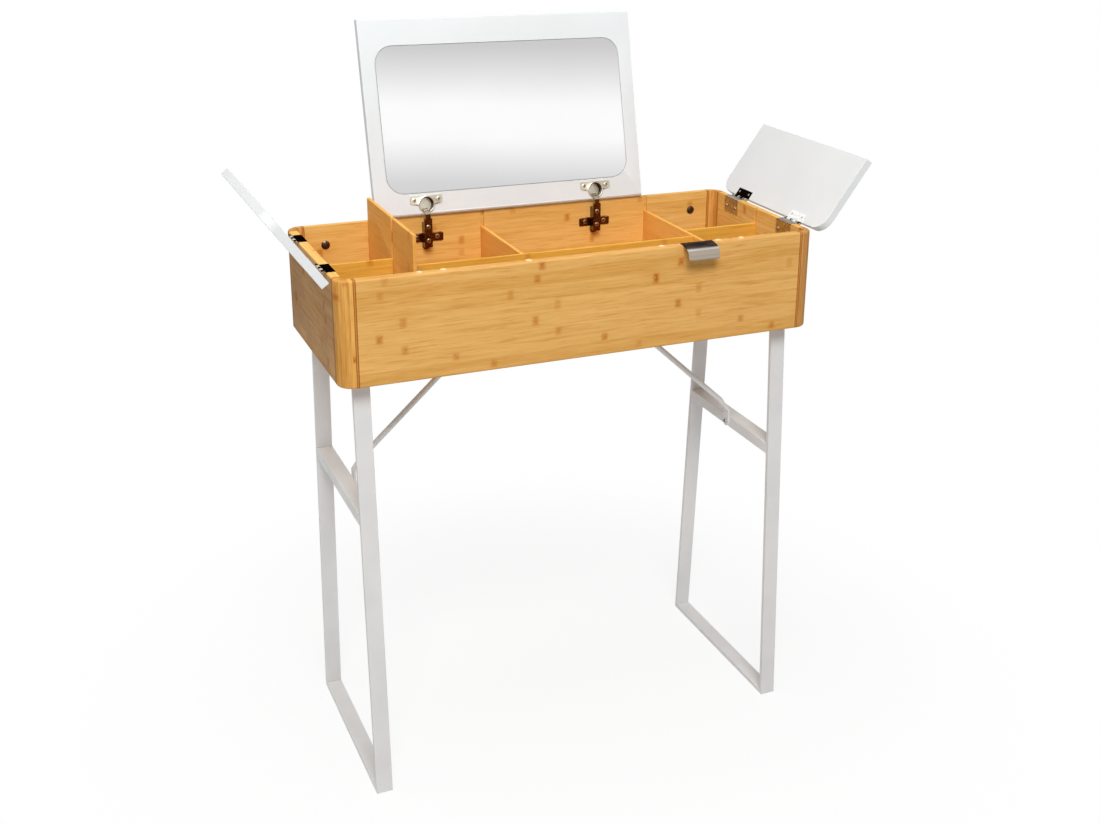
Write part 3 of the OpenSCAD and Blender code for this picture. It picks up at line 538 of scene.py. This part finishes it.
def dress(node, width, others=(), choose=None, move=None, keep=None):
    """The node again with its sharp outer edges broken, as sanding or a punch leaves them.

    The others are finishes after the node's own, and choose gives a face's place among them all;
    move shifts a point, and an edge stays sharp where keep says so of both its ends.
    """
    build = welded(node)
    if move:
        for vert in build.verts:
            vert.co = move(vert.co)
    build.normal_update()
    sharp = [edge for edge in build.edges if len(edge.link_faces) == 2 and edge.is_convex
             and edge.calc_face_angle(0.0) > BROKEN_FROM
             and not (keep and all(keep(vert.co) for vert in edge.verts))]
    made = set(bmesh.ops.bevel(build, geom=sharp, offset=width, segments=2, profile=0.5,
                               affect="EDGES", clamp_overlap=True)["faces"])
    build.normal_update()
    for face in build.faces:
        middle = face.calc_center_median()
        face.material_index = choose(middle, face.normal, face in made) if choose else 0
    mesh = finished(build, node, 20)
    body_piece(node + ".dressed", mesh, node, [finish_name(node), *others])


def islands(node):
    """The points of each separate solid of a node, in the mesh's order."""
    build = welded(node)
    found, groups = set(), []
    for start in build.verts:
        if start in found:
            continue
        found.add(start)
        group, edge_of = [], [start]
        while edge_of:
            vert = edge_of.pop()
            group.append(vert.co.copy())
            for edge in vert.link_edges:
                other = edge.other_vert(vert)
                if other not in found:
                    found.add(other)
                    edge_of.append(other)
        groups.append(group)
    build.free()
    return groups


# Lines of a screw head's grid, from -1 to 1: the cross recess has steep walls
HEAD_LINES = (0.15, 0.20, 0.40, 0.56, 0.63, 0.84, 1.0)
HEAD_GRID = [-u for u in reversed(HEAD_LINES)] + [0.0] + list(HEAD_LINES)
CROSS_REACH, CROSS_HALF, CROSS_EDGE = 0.6, 0.17, 0.18
# A node's first recess is turned by the first angle, and each next one by the second more
SCREW_TURNS = (0.5, 0.9)


def add_head(build, top, axis, turn, radius, dome, depth, skirt):
    """A round head with a cross recess, whose middle is at top and which faces along axis.

    The dome is how much lower its rim lies, the depth the recess's, and the skirt the side's height.
    """
    side = axis.orthogonal().normalized()
    side = Matrix.Rotation(turn, 3, axis) @ side
    across = axis.cross(side)
    rows = []
    for u in HEAD_GRID:
        row = []
        for v in HEAD_GRID:
            x, y = u * math.sqrt(1 - v * v / 2), v * math.sqrt(1 - u * u / 2)
            sunk = max(abs(u), abs(v)) < CROSS_REACH and min(abs(u), abs(v)) < CROSS_HALF
            rise = -dome * (x * x + y * y) - (depth if sunk else 0.0)
            row.append(build.verts.new(top + (x * side + y * across) * radius + axis * rise))
        rows.append(row)
    last = len(HEAD_GRID) - 1
    for i in range(last):
        for j in range(last):
            face = build.faces.new((rows[i][j], rows[i + 1][j], rows[i + 1][j + 1], rows[i][j + 1]))
            middle = ((HEAD_GRID[i] + HEAD_GRID[i + 1]) / 2, (HEAD_GRID[j] + HEAD_GRID[j + 1]) / 2)
            low, high = sorted(abs(c) for c in middle)
            # The cross recess takes the darker recess finish as painted shade.
            face.material_index = int(high < CROSS_REACH and low < CROSS_EDGE)
    rim = [rows[0][j] for j in range(last)] + [rows[i][last] for i in range(last)]
    rim += [rows[last][j] for j in range(last, 0, -1)] + [rows[i][0] for i in range(last, 0, -1)]
    foot = [build.verts.new(vert.co - axis * skirt) for vert in rim]
    for k, vert in enumerate(rim):
        nxt = (k + 1) % len(rim)
        build.faces.new((vert, rim[nxt], foot[nxt], foot[k]))
    build.faces.new(foot)


def screws(node, axis_of, shape, key, move=None):
    """Cross-head screws in the places of a node's solids; shape is add_head's last four numbers."""
    build = bmesh.new()
    for k, points in enumerate(islands(node)):
        centre = sum(points, Vector()) / len(points)
        axis = axis_of(centre)
        reach = max((p - centre).dot(axis) for p in points)
        top = centre + axis * reach
        add_head(build, move(top) if move else top, axis, SCREW_TURNS[0] + SCREW_TURNS[1] * k, *shape)
    bmesh.ops.recalc_face_normals(build, faces=build.faces)
    body_piece(node + ".heads", finished(build, node, 25), node, [key, "recess"])


def toward(x, y, z):
    """Always the same way, wherever the screw is."""
    return lambda centre: Vector((x, y, z)).normalized()


def inward(centre):
    """From an end wall towards the middle of the box."""
    return Vector((-1.0 if centre.x > 0 else 1.0, 0.0, 0.0))


# The bolts further out than this are the ones at the crossbars
CROSSBAR_BOLTS_FROM = 0.28


def brace_way(centre):
    """The bolts at the crossbars face inward and those under the box face down."""
    return inward(centre) if abs(centre.x) > CROSSBAR_BOLTS_FROM else Vector((0.0, 0.0, -1.0))


# The ways that the open lids' inner faces look
CENTRE_OUT = Vector((0.0, -math.sin(OPENED["centre_lid"]), -math.cos(OPENED["centre_lid"])))
LEFT_OUT = Vector((math.sin(OPENED["left_lid"]), 0.0, -math.cos(OPENED["left_lid"])))
RIGHT_OUT = Vector((-math.sin(OPENED["right_lid"]), 0.0, -math.cos(OPENED["right_lid"])))

# Depths below the rim on the hinge arm, in the CAD model and in the photograph
ARM_DEPTHS = ((0.0, 0.0), (0.0040, 0.0005), (0.0183, 0.0132), (0.0416, 0.0345), (0.0500, 0.0450),
              (0.2, 0.195))
# The wings of the mounting plate lie between these heights
WING_LOW, WING_HIGH = RIM_Z - 0.0412, RIM_Z - 0.0262
# How far the photograph has the left and the right hinge's arm and wings from the solids' places
ARM_SHIFTS, WING_SHIFTS = (-0.0028, -0.0036), (-0.0013, -0.0026)
WING_RISE = 0.0017


def arm_place(point):
    """The hinge arm's place in the photograph: a little to the left and shorter below the rim."""
    depth = RIM_Z - point.z
    for (a, to_a), (b, to_b) in zip(ARM_DEPTHS, ARM_DEPTHS[1:]):
        if a < depth <= b:
            depth = to_a + (depth - a) * (to_b - to_a) / (b - a)
            break
    return Vector((point.x + ARM_SHIFTS[point.x >= 0], point.y, RIM_Z - depth))


def plate_place(point):
    """The mounting plate's place: its wings rise a little, and its rail is shortened as the arm is."""
    if WING_LOW < point.z < WING_HIGH:
        return Vector((point.x + WING_SHIFTS[point.x >= 0], point.y, point.z + WING_RISE))
    return arm_place(point)


def make_pull():
    """The bent steel pull, swept along its profile, with rounded front corners."""
    last = len(PULL_PATH) - 1
    tangent = [(PULL_PATH[min(i + 1, last)] - PULL_PATH[max(i - 1, 0)]).normalized()
               for i in range(last + 1)]
    inside = [Vector((0.0, -t.z, t.y)) for t in tangent]
    steps = [0.0, 0.0003, 0.0009, 0.0018, PULL_CORNER]
    span = PULL_X[1] - PULL_X[0]
    xs = steps + [span * k / 12 for k in range(1, 12)] + [span - d for d in reversed(steps)]
    build = bmesh.new()
    outer, inner = [], []
    for x in xs:
        inner_side = max(0.0, PULL_CORNER - min(x, span - x))
        cut = PULL_CORNER - math.sqrt(max(0.0, PULL_CORNER ** 2 - inner_side ** 2))
        for rows, depth in ((outer, 0.0), (inner, PULL_THICK)):
            row = []
            for i, point in enumerate(PULL_PATH):
                at = point + inside[i] * depth
                if i == last:
                    at -= tangent[i] * cut
                row.append(build.verts.new(at + Vector((PULL_X[0] + x, 0.0, 0.0))))
            rows.append(row)
    for out_a, out_b, in_a, in_b in zip(outer, outer[1:], inner, inner[1:]):
        for i in range(last):
            build.faces.new((out_a[i], out_b[i], out_b[i + 1], out_a[i + 1]))
            build.faces.new((in_a[i + 1], in_b[i + 1], in_b[i], in_a[i]))
        build.faces.new((out_a[last], out_b[last], in_b[last], in_a[last]))
        build.faces.new((in_a[0], in_b[0], out_b[0], out_a[0]))
    for end in (0, -1):
        for i in range(last):
            build.faces.new((outer[end][i], outer[end][i + 1], inner[end][i + 1], inner[end][i]))
    bmesh.ops.recalc_face_normals(build, faces=build.faces)
    body_piece("pull.bent", finished(build, "pull", 40), "pull", ["brushed"])


# The way from the hinges to the open mirror lid's free edge
LID_UP = Vector((0.0, -CENTRE_OUT.z, CENTRE_OUT.y))
LID_UP = LID_UP if LID_UP.z > 0 else -LID_UP

# The cup's outer radius, its well's, and the lid's bore with some room
CUP_R, CUP_WELL, NEAR_BORE = 0.0132, 0.0110, 0.0150
# How thick the flange is, and how deep a point lies that can only be the cup's
FLANGE_THICK, CUP_ONLY = 0.0010, 0.006
# The flange's half length, and its lower and upper edges above the cup's middle
FLANGE = (0.0254, 0.0010, 0.0134)
FLANGE_CORNER = 0.0022
# The flange's outline is drawn about a point this far above the cup's middle
FLANGE_START = 0.003
# Steps of angle around the flange, and more of them beside its corners
FLANGE_STEPS = 96
CORNER_STEPS = (-0.03, -0.015, 0.0, 0.015, 0.03)
# How far the photograph has the left and the right cup from the solids' places, and its screws above
CUP_SHIFTS = (Vector((-0.0018, 0.0, 0.0)), Vector((-0.0030, 0.0, 0.0)))
CUP_SCREW_RISE = 0.0027


def cup_middle(right):
    """The middle of a CAD cup's mouth on the lid's inner face, the right one's or the left one's."""
    points = [v.co for v in nodes["hinge_cups"].data.vertices]
    mouth = max(p.dot(CENTRE_OUT) for p in points) - FLANGE_THICK
    deep = [p for p in points if (p.x > 0) == right and p.dot(CENTRE_OUT) < mouth - CUP_ONLY]
    along = [p.x for p in deep]
    across = [p.dot(LID_UP) for p in deep]
    return (Vector(((min(along) + max(along)) / 2, 0.0, 0.0))
            + LID_UP * ((min(across) + max(across)) / 2) + CENTRE_OUT * mouth)


CUPS = (cup_middle(False), cup_middle(True))


def at_bore(point):
    """Whether a point of the lid is on a cup's bore."""
    off = point - CUPS[point.x >= 0]
    return (off - CENTRE_OUT * off.dot(CENTRE_OUT)).length < NEAR_BORE


def bore_place(point):
    """The lid's bores, moved with the cups."""
    return point + CUP_SHIFTS[point.x >= 0] if at_bore(point) else point


def flange_reach(angle):
    """How far the flange's outline lies from its starting point."""
    half, low, high = FLANGE
    u, v = math.cos(angle), math.sin(angle)
    low, high = low - FLANGE_START, high - FLANGE_START
    reach = min(half / abs(u) if abs(u) > 1e-9 else 1.0,
                (high if v > 0 else low) / v if abs(v) > 1e-9 else 1.0)
    x, y = u * reach, v * reach
    cx = half - FLANGE_CORNER
    cy = high - FLANGE_CORNER if y > 0 else low + FLANGE_CORNER
    if abs(x) > cx and (y > cy if y > 0 else y < cy):
        along = abs(u) * cx + v * cy
        reach = along + math.sqrt(max(0.0, along ** 2 - (cx * cx + cy * cy - FLANGE_CORNER ** 2)))
    return max(reach, circle_reach(angle, CUP_R))


def circle_reach(angle, radius):
    """How far a circle about the cup's middle lies from the flange's starting point."""
    drop = FLANGE_START * math.sin(angle)
    return -drop + math.sqrt(radius ** 2 - FLANGE_START ** 2 + drop ** 2)


def make_cups():
    """Hinge cups: a flange with rounded ends, a rolled lip, a wall darkened as painted shade and a bright
    floor.
    """
    corner_angles = [math.atan2(v - FLANGE_START, u) for u in (FLANGE[0], -FLANGE[0]) for v in FLANGE[1:]]
    angles = sorted([2 * math.pi * k / FLANGE_STEPS - math.pi for k in range(FLANGE_STEPS)]
                    + [a + d for a in corner_angles for d in CORNER_STEPS])
    count = len(angles)
    outline = [flange_reach(a) for a in angles]
    # Whether a ring is about the flange's starting point, its reaches, and its height on the lid
    rings = [
        (False, [CUP_R - 0.0004] * count, -0.0098),
        (False, [CUP_R - 0.0004] * count, 0.0),
        (True, outline, 0.0),
        (True, outline, 0.0007),
        (True, [reach - 0.0003 for reach in outline], FLANGE_THICK),
        (False, [CUP_WELL + 0.0014] * count, FLANGE_THICK),
        (False, [CUP_WELL + 0.0006] * count, 0.0014),
        (False, [CUP_WELL] * count, FLANGE_THICK),
        (False, [CUP_WELL] * count, -0.0080),
        (False, [CUP_WELL - 0.0008] * count, -0.0092),
        (False, [0.004] * count, -0.0092),
    ]
    # The inner wall's rings take the dark well finish as painted shade.
    shaded_rings = (7, 8)
    build = bmesh.new()
    for cup, shift in zip(CUPS, CUP_SHIFTS):
        middle = cup + shift
        start = middle + LID_UP * FLANGE_START
        rows = []
        for on_flange, reaches, height in rings:
            base = (start if on_flange else middle) + CENTRE_OUT * height
            rows.append([build.verts.new(base + ring_way(a) * reach) for a, reach in zip(angles, reaches)])
        for k, (first, second) in enumerate(zip(rows, rows[1:])):
            for i in range(count):
                nxt = (i + 1) % count
                face = build.faces.new((first[i], first[nxt], second[nxt], second[i]))
                face.material_index = int(k in shaded_rings)
        build.faces.new(rows[0])
        build.faces.new(rows[-1])
    bmesh.ops.recalc_face_normals(build, faces=build.faces)
    body_piece("hinge_cups.drawn", finished(build, "cups", 30), "hinge_cups", ["flange", "well"])


def ring_way(angle):
    """The direction at an angle about a cup's axis."""
    return Vector((math.cos(angle), 0.0, 0.0)) + LID_UP * math.sin(angle)


def cup_screw_place(point):
    """The flange's screws, with the flange."""
    return point + CUP_SHIFTS[point.x >= 0] + LID_UP * CUP_SCREW_RISE


def upward_edge_highlights(centre, normal, bevelled):
    """The nickel finish as a painted highlight where an edge looks up."""
    return int(bevelled and normal.z > 0.3)


def arm_highlights(centre, normal, bevelled):
    """The nickel finish above the rim, and as a painted highlight on edges that look up; below the rim the
    dark hinge steel is a painted reflection.
    """
    return int(centre.z > RIM_Z or (bevelled and normal.z > 0.3))


EDGE_WIDTHS = {
    0.0008: ["left_lid", "right_lid"],
    0.0007: [name for name in nodes if name.endswith(("_leg", "_rail", "_crossbar"))],
    0.0006: ["tall_divider", "centre_divider", "right_divider", "left_long_board",
             "centre_long_board", "right_long_board"],
    0.0003: ["left_brace", "right_brace"],
    0.0002: ["left_lid_leaves", "right_box_leaves"],
}
for width, names in EDGE_WIDTHS.items():
    for name in names:
        dress(name, width)
dress("mirror", 0.0006, ["glass edge"], lambda centre, normal, bevelled: int(bevelled))
dress("centre_lid", 0.0008, move=bore_place, keep=at_bore)
dress("hinge_plates", 0.0012, ["nickel"], upward_edge_highlights, plate_place)
dress("hinge_arms", 0.0006, ["nickel"], arm_highlights, arm_place)
dress("left_box_leaves", 0.0002, ["dark leaf"], lambda centre, normal, bevelled: int(normal.z > 0.7))
dress("right_lid_leaves", 0.0002, ["dark leaf", "pale leaf"],
      lambda centre, normal, bevelled: 1 if centre.y > 0 else 2)
make_pull()
make_cups()

SEEN_FRONT = toward(0, -1, 0)
BOX_SCREW = (0.0030, 0.0010, 0.0010, 0.0004)
LID_SCREW = (0.0017, 0.0001, 0.0006, 0.0007)
screws("plate_screws", SEEN_FRONT, (0.0036, 0.0008, 0.0010, 0.0005), "screw", plate_place)
screws("arm_screws", SEEN_FRONT, (0.0034, 0.0010, 0.0012, 0.0005), "screw", arm_place)
screws("cup_screws", toward(*CENTRE_OUT), (0.0034, 0.0005, 0.0008, 0.0004), "flange", cup_screw_place)
screws("left_box_screws", inward, BOX_SCREW, "nickel")
screws("right_box_screws", inward, BOX_SCREW, "nickel")
screws("left_lid_screws", toward(*LEFT_OUT), LID_SCREW, "nickel")
screws("right_lid_screws", toward(*RIGHT_OUT), LID_SCREW, "nickel")
screws("back_wall_screws", SEEN_FRONT, (0.0065, 0.0018, 0.0018, 0.0006), "black")
screws("brace_bolts", brace_way, (0.0055, 0.0020, 0.0016, 0.0006), "bolt")
screws("frame_screws", toward(0, 0, -1), (0.0048, 0.0018, 0.0014, 0.0004), "bolt")


def area_light(name, location, size, power):
    """A soft lamp that faces the box."""
    data = bpy.data.lights.new(name, "AREA")
    data.shape = "RECTANGLE"
    data.size, data.size_y = size
    data.energy = power
    lamp = bpy.data.objects.new(name, data)
    bpy.context.scene.collection.objects.link(lamp)
    lamp.location = location
    lamp.rotation_euler = (LIT - lamp.location).to_track_quat("-Z", "Y").to_euler()


def make_camera():
    """The photograph's camera: its place, its turn and the shift of its picture."""
    forward, right, up = camera_axes()
    data = bpy.data.cameras.new("camera")
    data.sensor_fit = "HORIZONTAL"
    data.sensor_width = 36.0
    data.lens = data.sensor_width * FOCAL_PX / IMAGE_W
    data.shift_x = (IMAGE_W / 2 - CENTRE_PX.x) / IMAGE_W
    data.shift_y = (CENTRE_PX.y - IMAGE_H / 2) / IMAGE_W
    camera = bpy.data.objects.new("camera", data)
    turn = Matrix((right, up, -forward)).transposed().to_4x4()
    camera.matrix_world = Matrix.Translation(CAMERA_AT) @ turn
    bpy.context.scene.collection.objects.link(camera)
    bpy.context.scene.camera = camera


def make_floor():
    """A pale floor that keeps the object's shadow and fades into the white background."""
    mesh = bpy.data.meshes.new("floor")
    build = bmesh.new()
    bmesh.ops.create_grid(build, x_segments=4, y_segments=4, size=FLOOR_HALF)
    build.to_mesh(mesh)
    build.free()
    floor = bpy.data.objects.new("floor", mesh)
    bpy.context.scene.collection.objects.link(floor)
    n = Nodes(bpy.data.materials.new("floor"))
    seen = n.seen()
    p = n.split()
    away = n.math("SQRT", n.math("ADD", n.math("POWER", p["x"], 2.0), n.math("POWER", p["y"], 2.0)))
    n.put("Base Color", n.mix(seen, (0.78, 0.78, 0.78, 1.0), (0.96, 0.96, 0.96, 1.0)))
    n.put("Roughness", 0.9)
    n.put("Specular IOR Level", 0.1)
    glow = n.add("ShaderNodeEmission")
    n.link((1.0, 1.0, 1.0, 1.0), glow.inputs["Color"])
    n.link(1.0, glow.inputs["Strength"])
    blend = n.add("ShaderNodeMixShader")
    n.link(n.math("MULTIPLY", seen, n.ramp(away, *SHADOW_FADE, 0.84, 1.0)), blend.inputs[0])
    n.link(n.shader.outputs[0], blend.inputs[1])
    n.link(glow.outputs[0], blend.inputs[2])
    n.link(blend.outputs[0], n.tree.nodes["Material Output"].inputs["Surface"])
    paint(floor, n.owner)


def camera_axes():
    """The camera's forward, right and up directions."""
    forward = Vector((
        math.sin(CAMERA_YAW) * math.cos(CAMERA_PITCH),
        math.cos(CAMERA_YAW) * math.cos(CAMERA_PITCH),
        math.sin(CAMERA_PITCH)))
    level = forward.cross(Vector((0, 0, 1))).normalized()
    up = level.cross(forward)
    right = math.cos(CAMERA_ROLL) * level + math.sin(CAMERA_ROLL) * up
    return forward, right, math.cos(CAMERA_ROLL) * up - math.sin(CAMERA_ROLL) * level


def make_world():
    """White to the camera, a soft studio wall in reflections, and dimmer where it lights the object."""
    n = Nodes(bpy.data.worlds.new("studio"))
    bpy.context.scene.world = n.owner
    direction = n.add("ShaderNodeTexCoord").outputs["Generated"]
    forward, _, up = camera_axes()

    def along(axis):
        """How far a ray's direction goes along an axis."""
        node = n.add("ShaderNodeVectorMath", operation="DOT_PRODUCT")
        n.link(direction, node.inputs[0])
        node.inputs[1].default_value = axis
        return node.outputs["Value"]

    # The wall stands where the open mirror sends the camera's rays
    ahead, above = along(forward.reflect(CENTRE_OUT)), along(up.reflect(CENTRE_OUT))
    height = n.math("DIVIDE", above, n.math("MAXIMUM", ahead, LEAST_AHEAD))
    low, high = STUDIO[0][0], STUDIO[-1][0]
    wall = n.add("ShaderNodeValToRGB")
    n.link(n.math("DIVIDE", n.math("SUBTRACT", height, low), high - low), wall.inputs[0])
    stops = wall.color_ramp.elements
    stops[0].position, stops[1].position = 0.0, 1.0
    stops[0].color, stops[1].color = linear(*[STUDIO[0][1]] * 3), linear(*[STUDIO[-1][1]] * 3)
    for at, value in STUDIO[1:-1]:
        stops.new((at - low) / (high - low)).color = linear(value, value, value)
    glossy = n.add("ShaderNodeLightPath").outputs["Is Glossy Ray"]
    faced = n.math("MULTIPLY", glossy, n.math("GREATER_THAN", ahead, LEAST_AHEAD))
    background = n.tree.nodes["Background"]
    shown = n.mix(faced, (1.0, 1.0, 1.0, 1.0), wall.outputs["Color"])
    n.link(shown, background.inputs["Color"])
    strength = n.math("ADD", n.math("MULTIPLY", n.seen(), 1.0 - AMBIENT), AMBIENT)
    n.link(strength, background.inputs["Strength"])


make_camera()
make_floor()
make_world()
area_light("key", (-0.7, -2.4, 3.1), (1.5, 1.2), 87.0)
area_light("top", (-0.9, -0.1, 3.2), (1.6, 1.6), 25.0)

bpy.context.scene.view_settings.view_transform = "Standard"
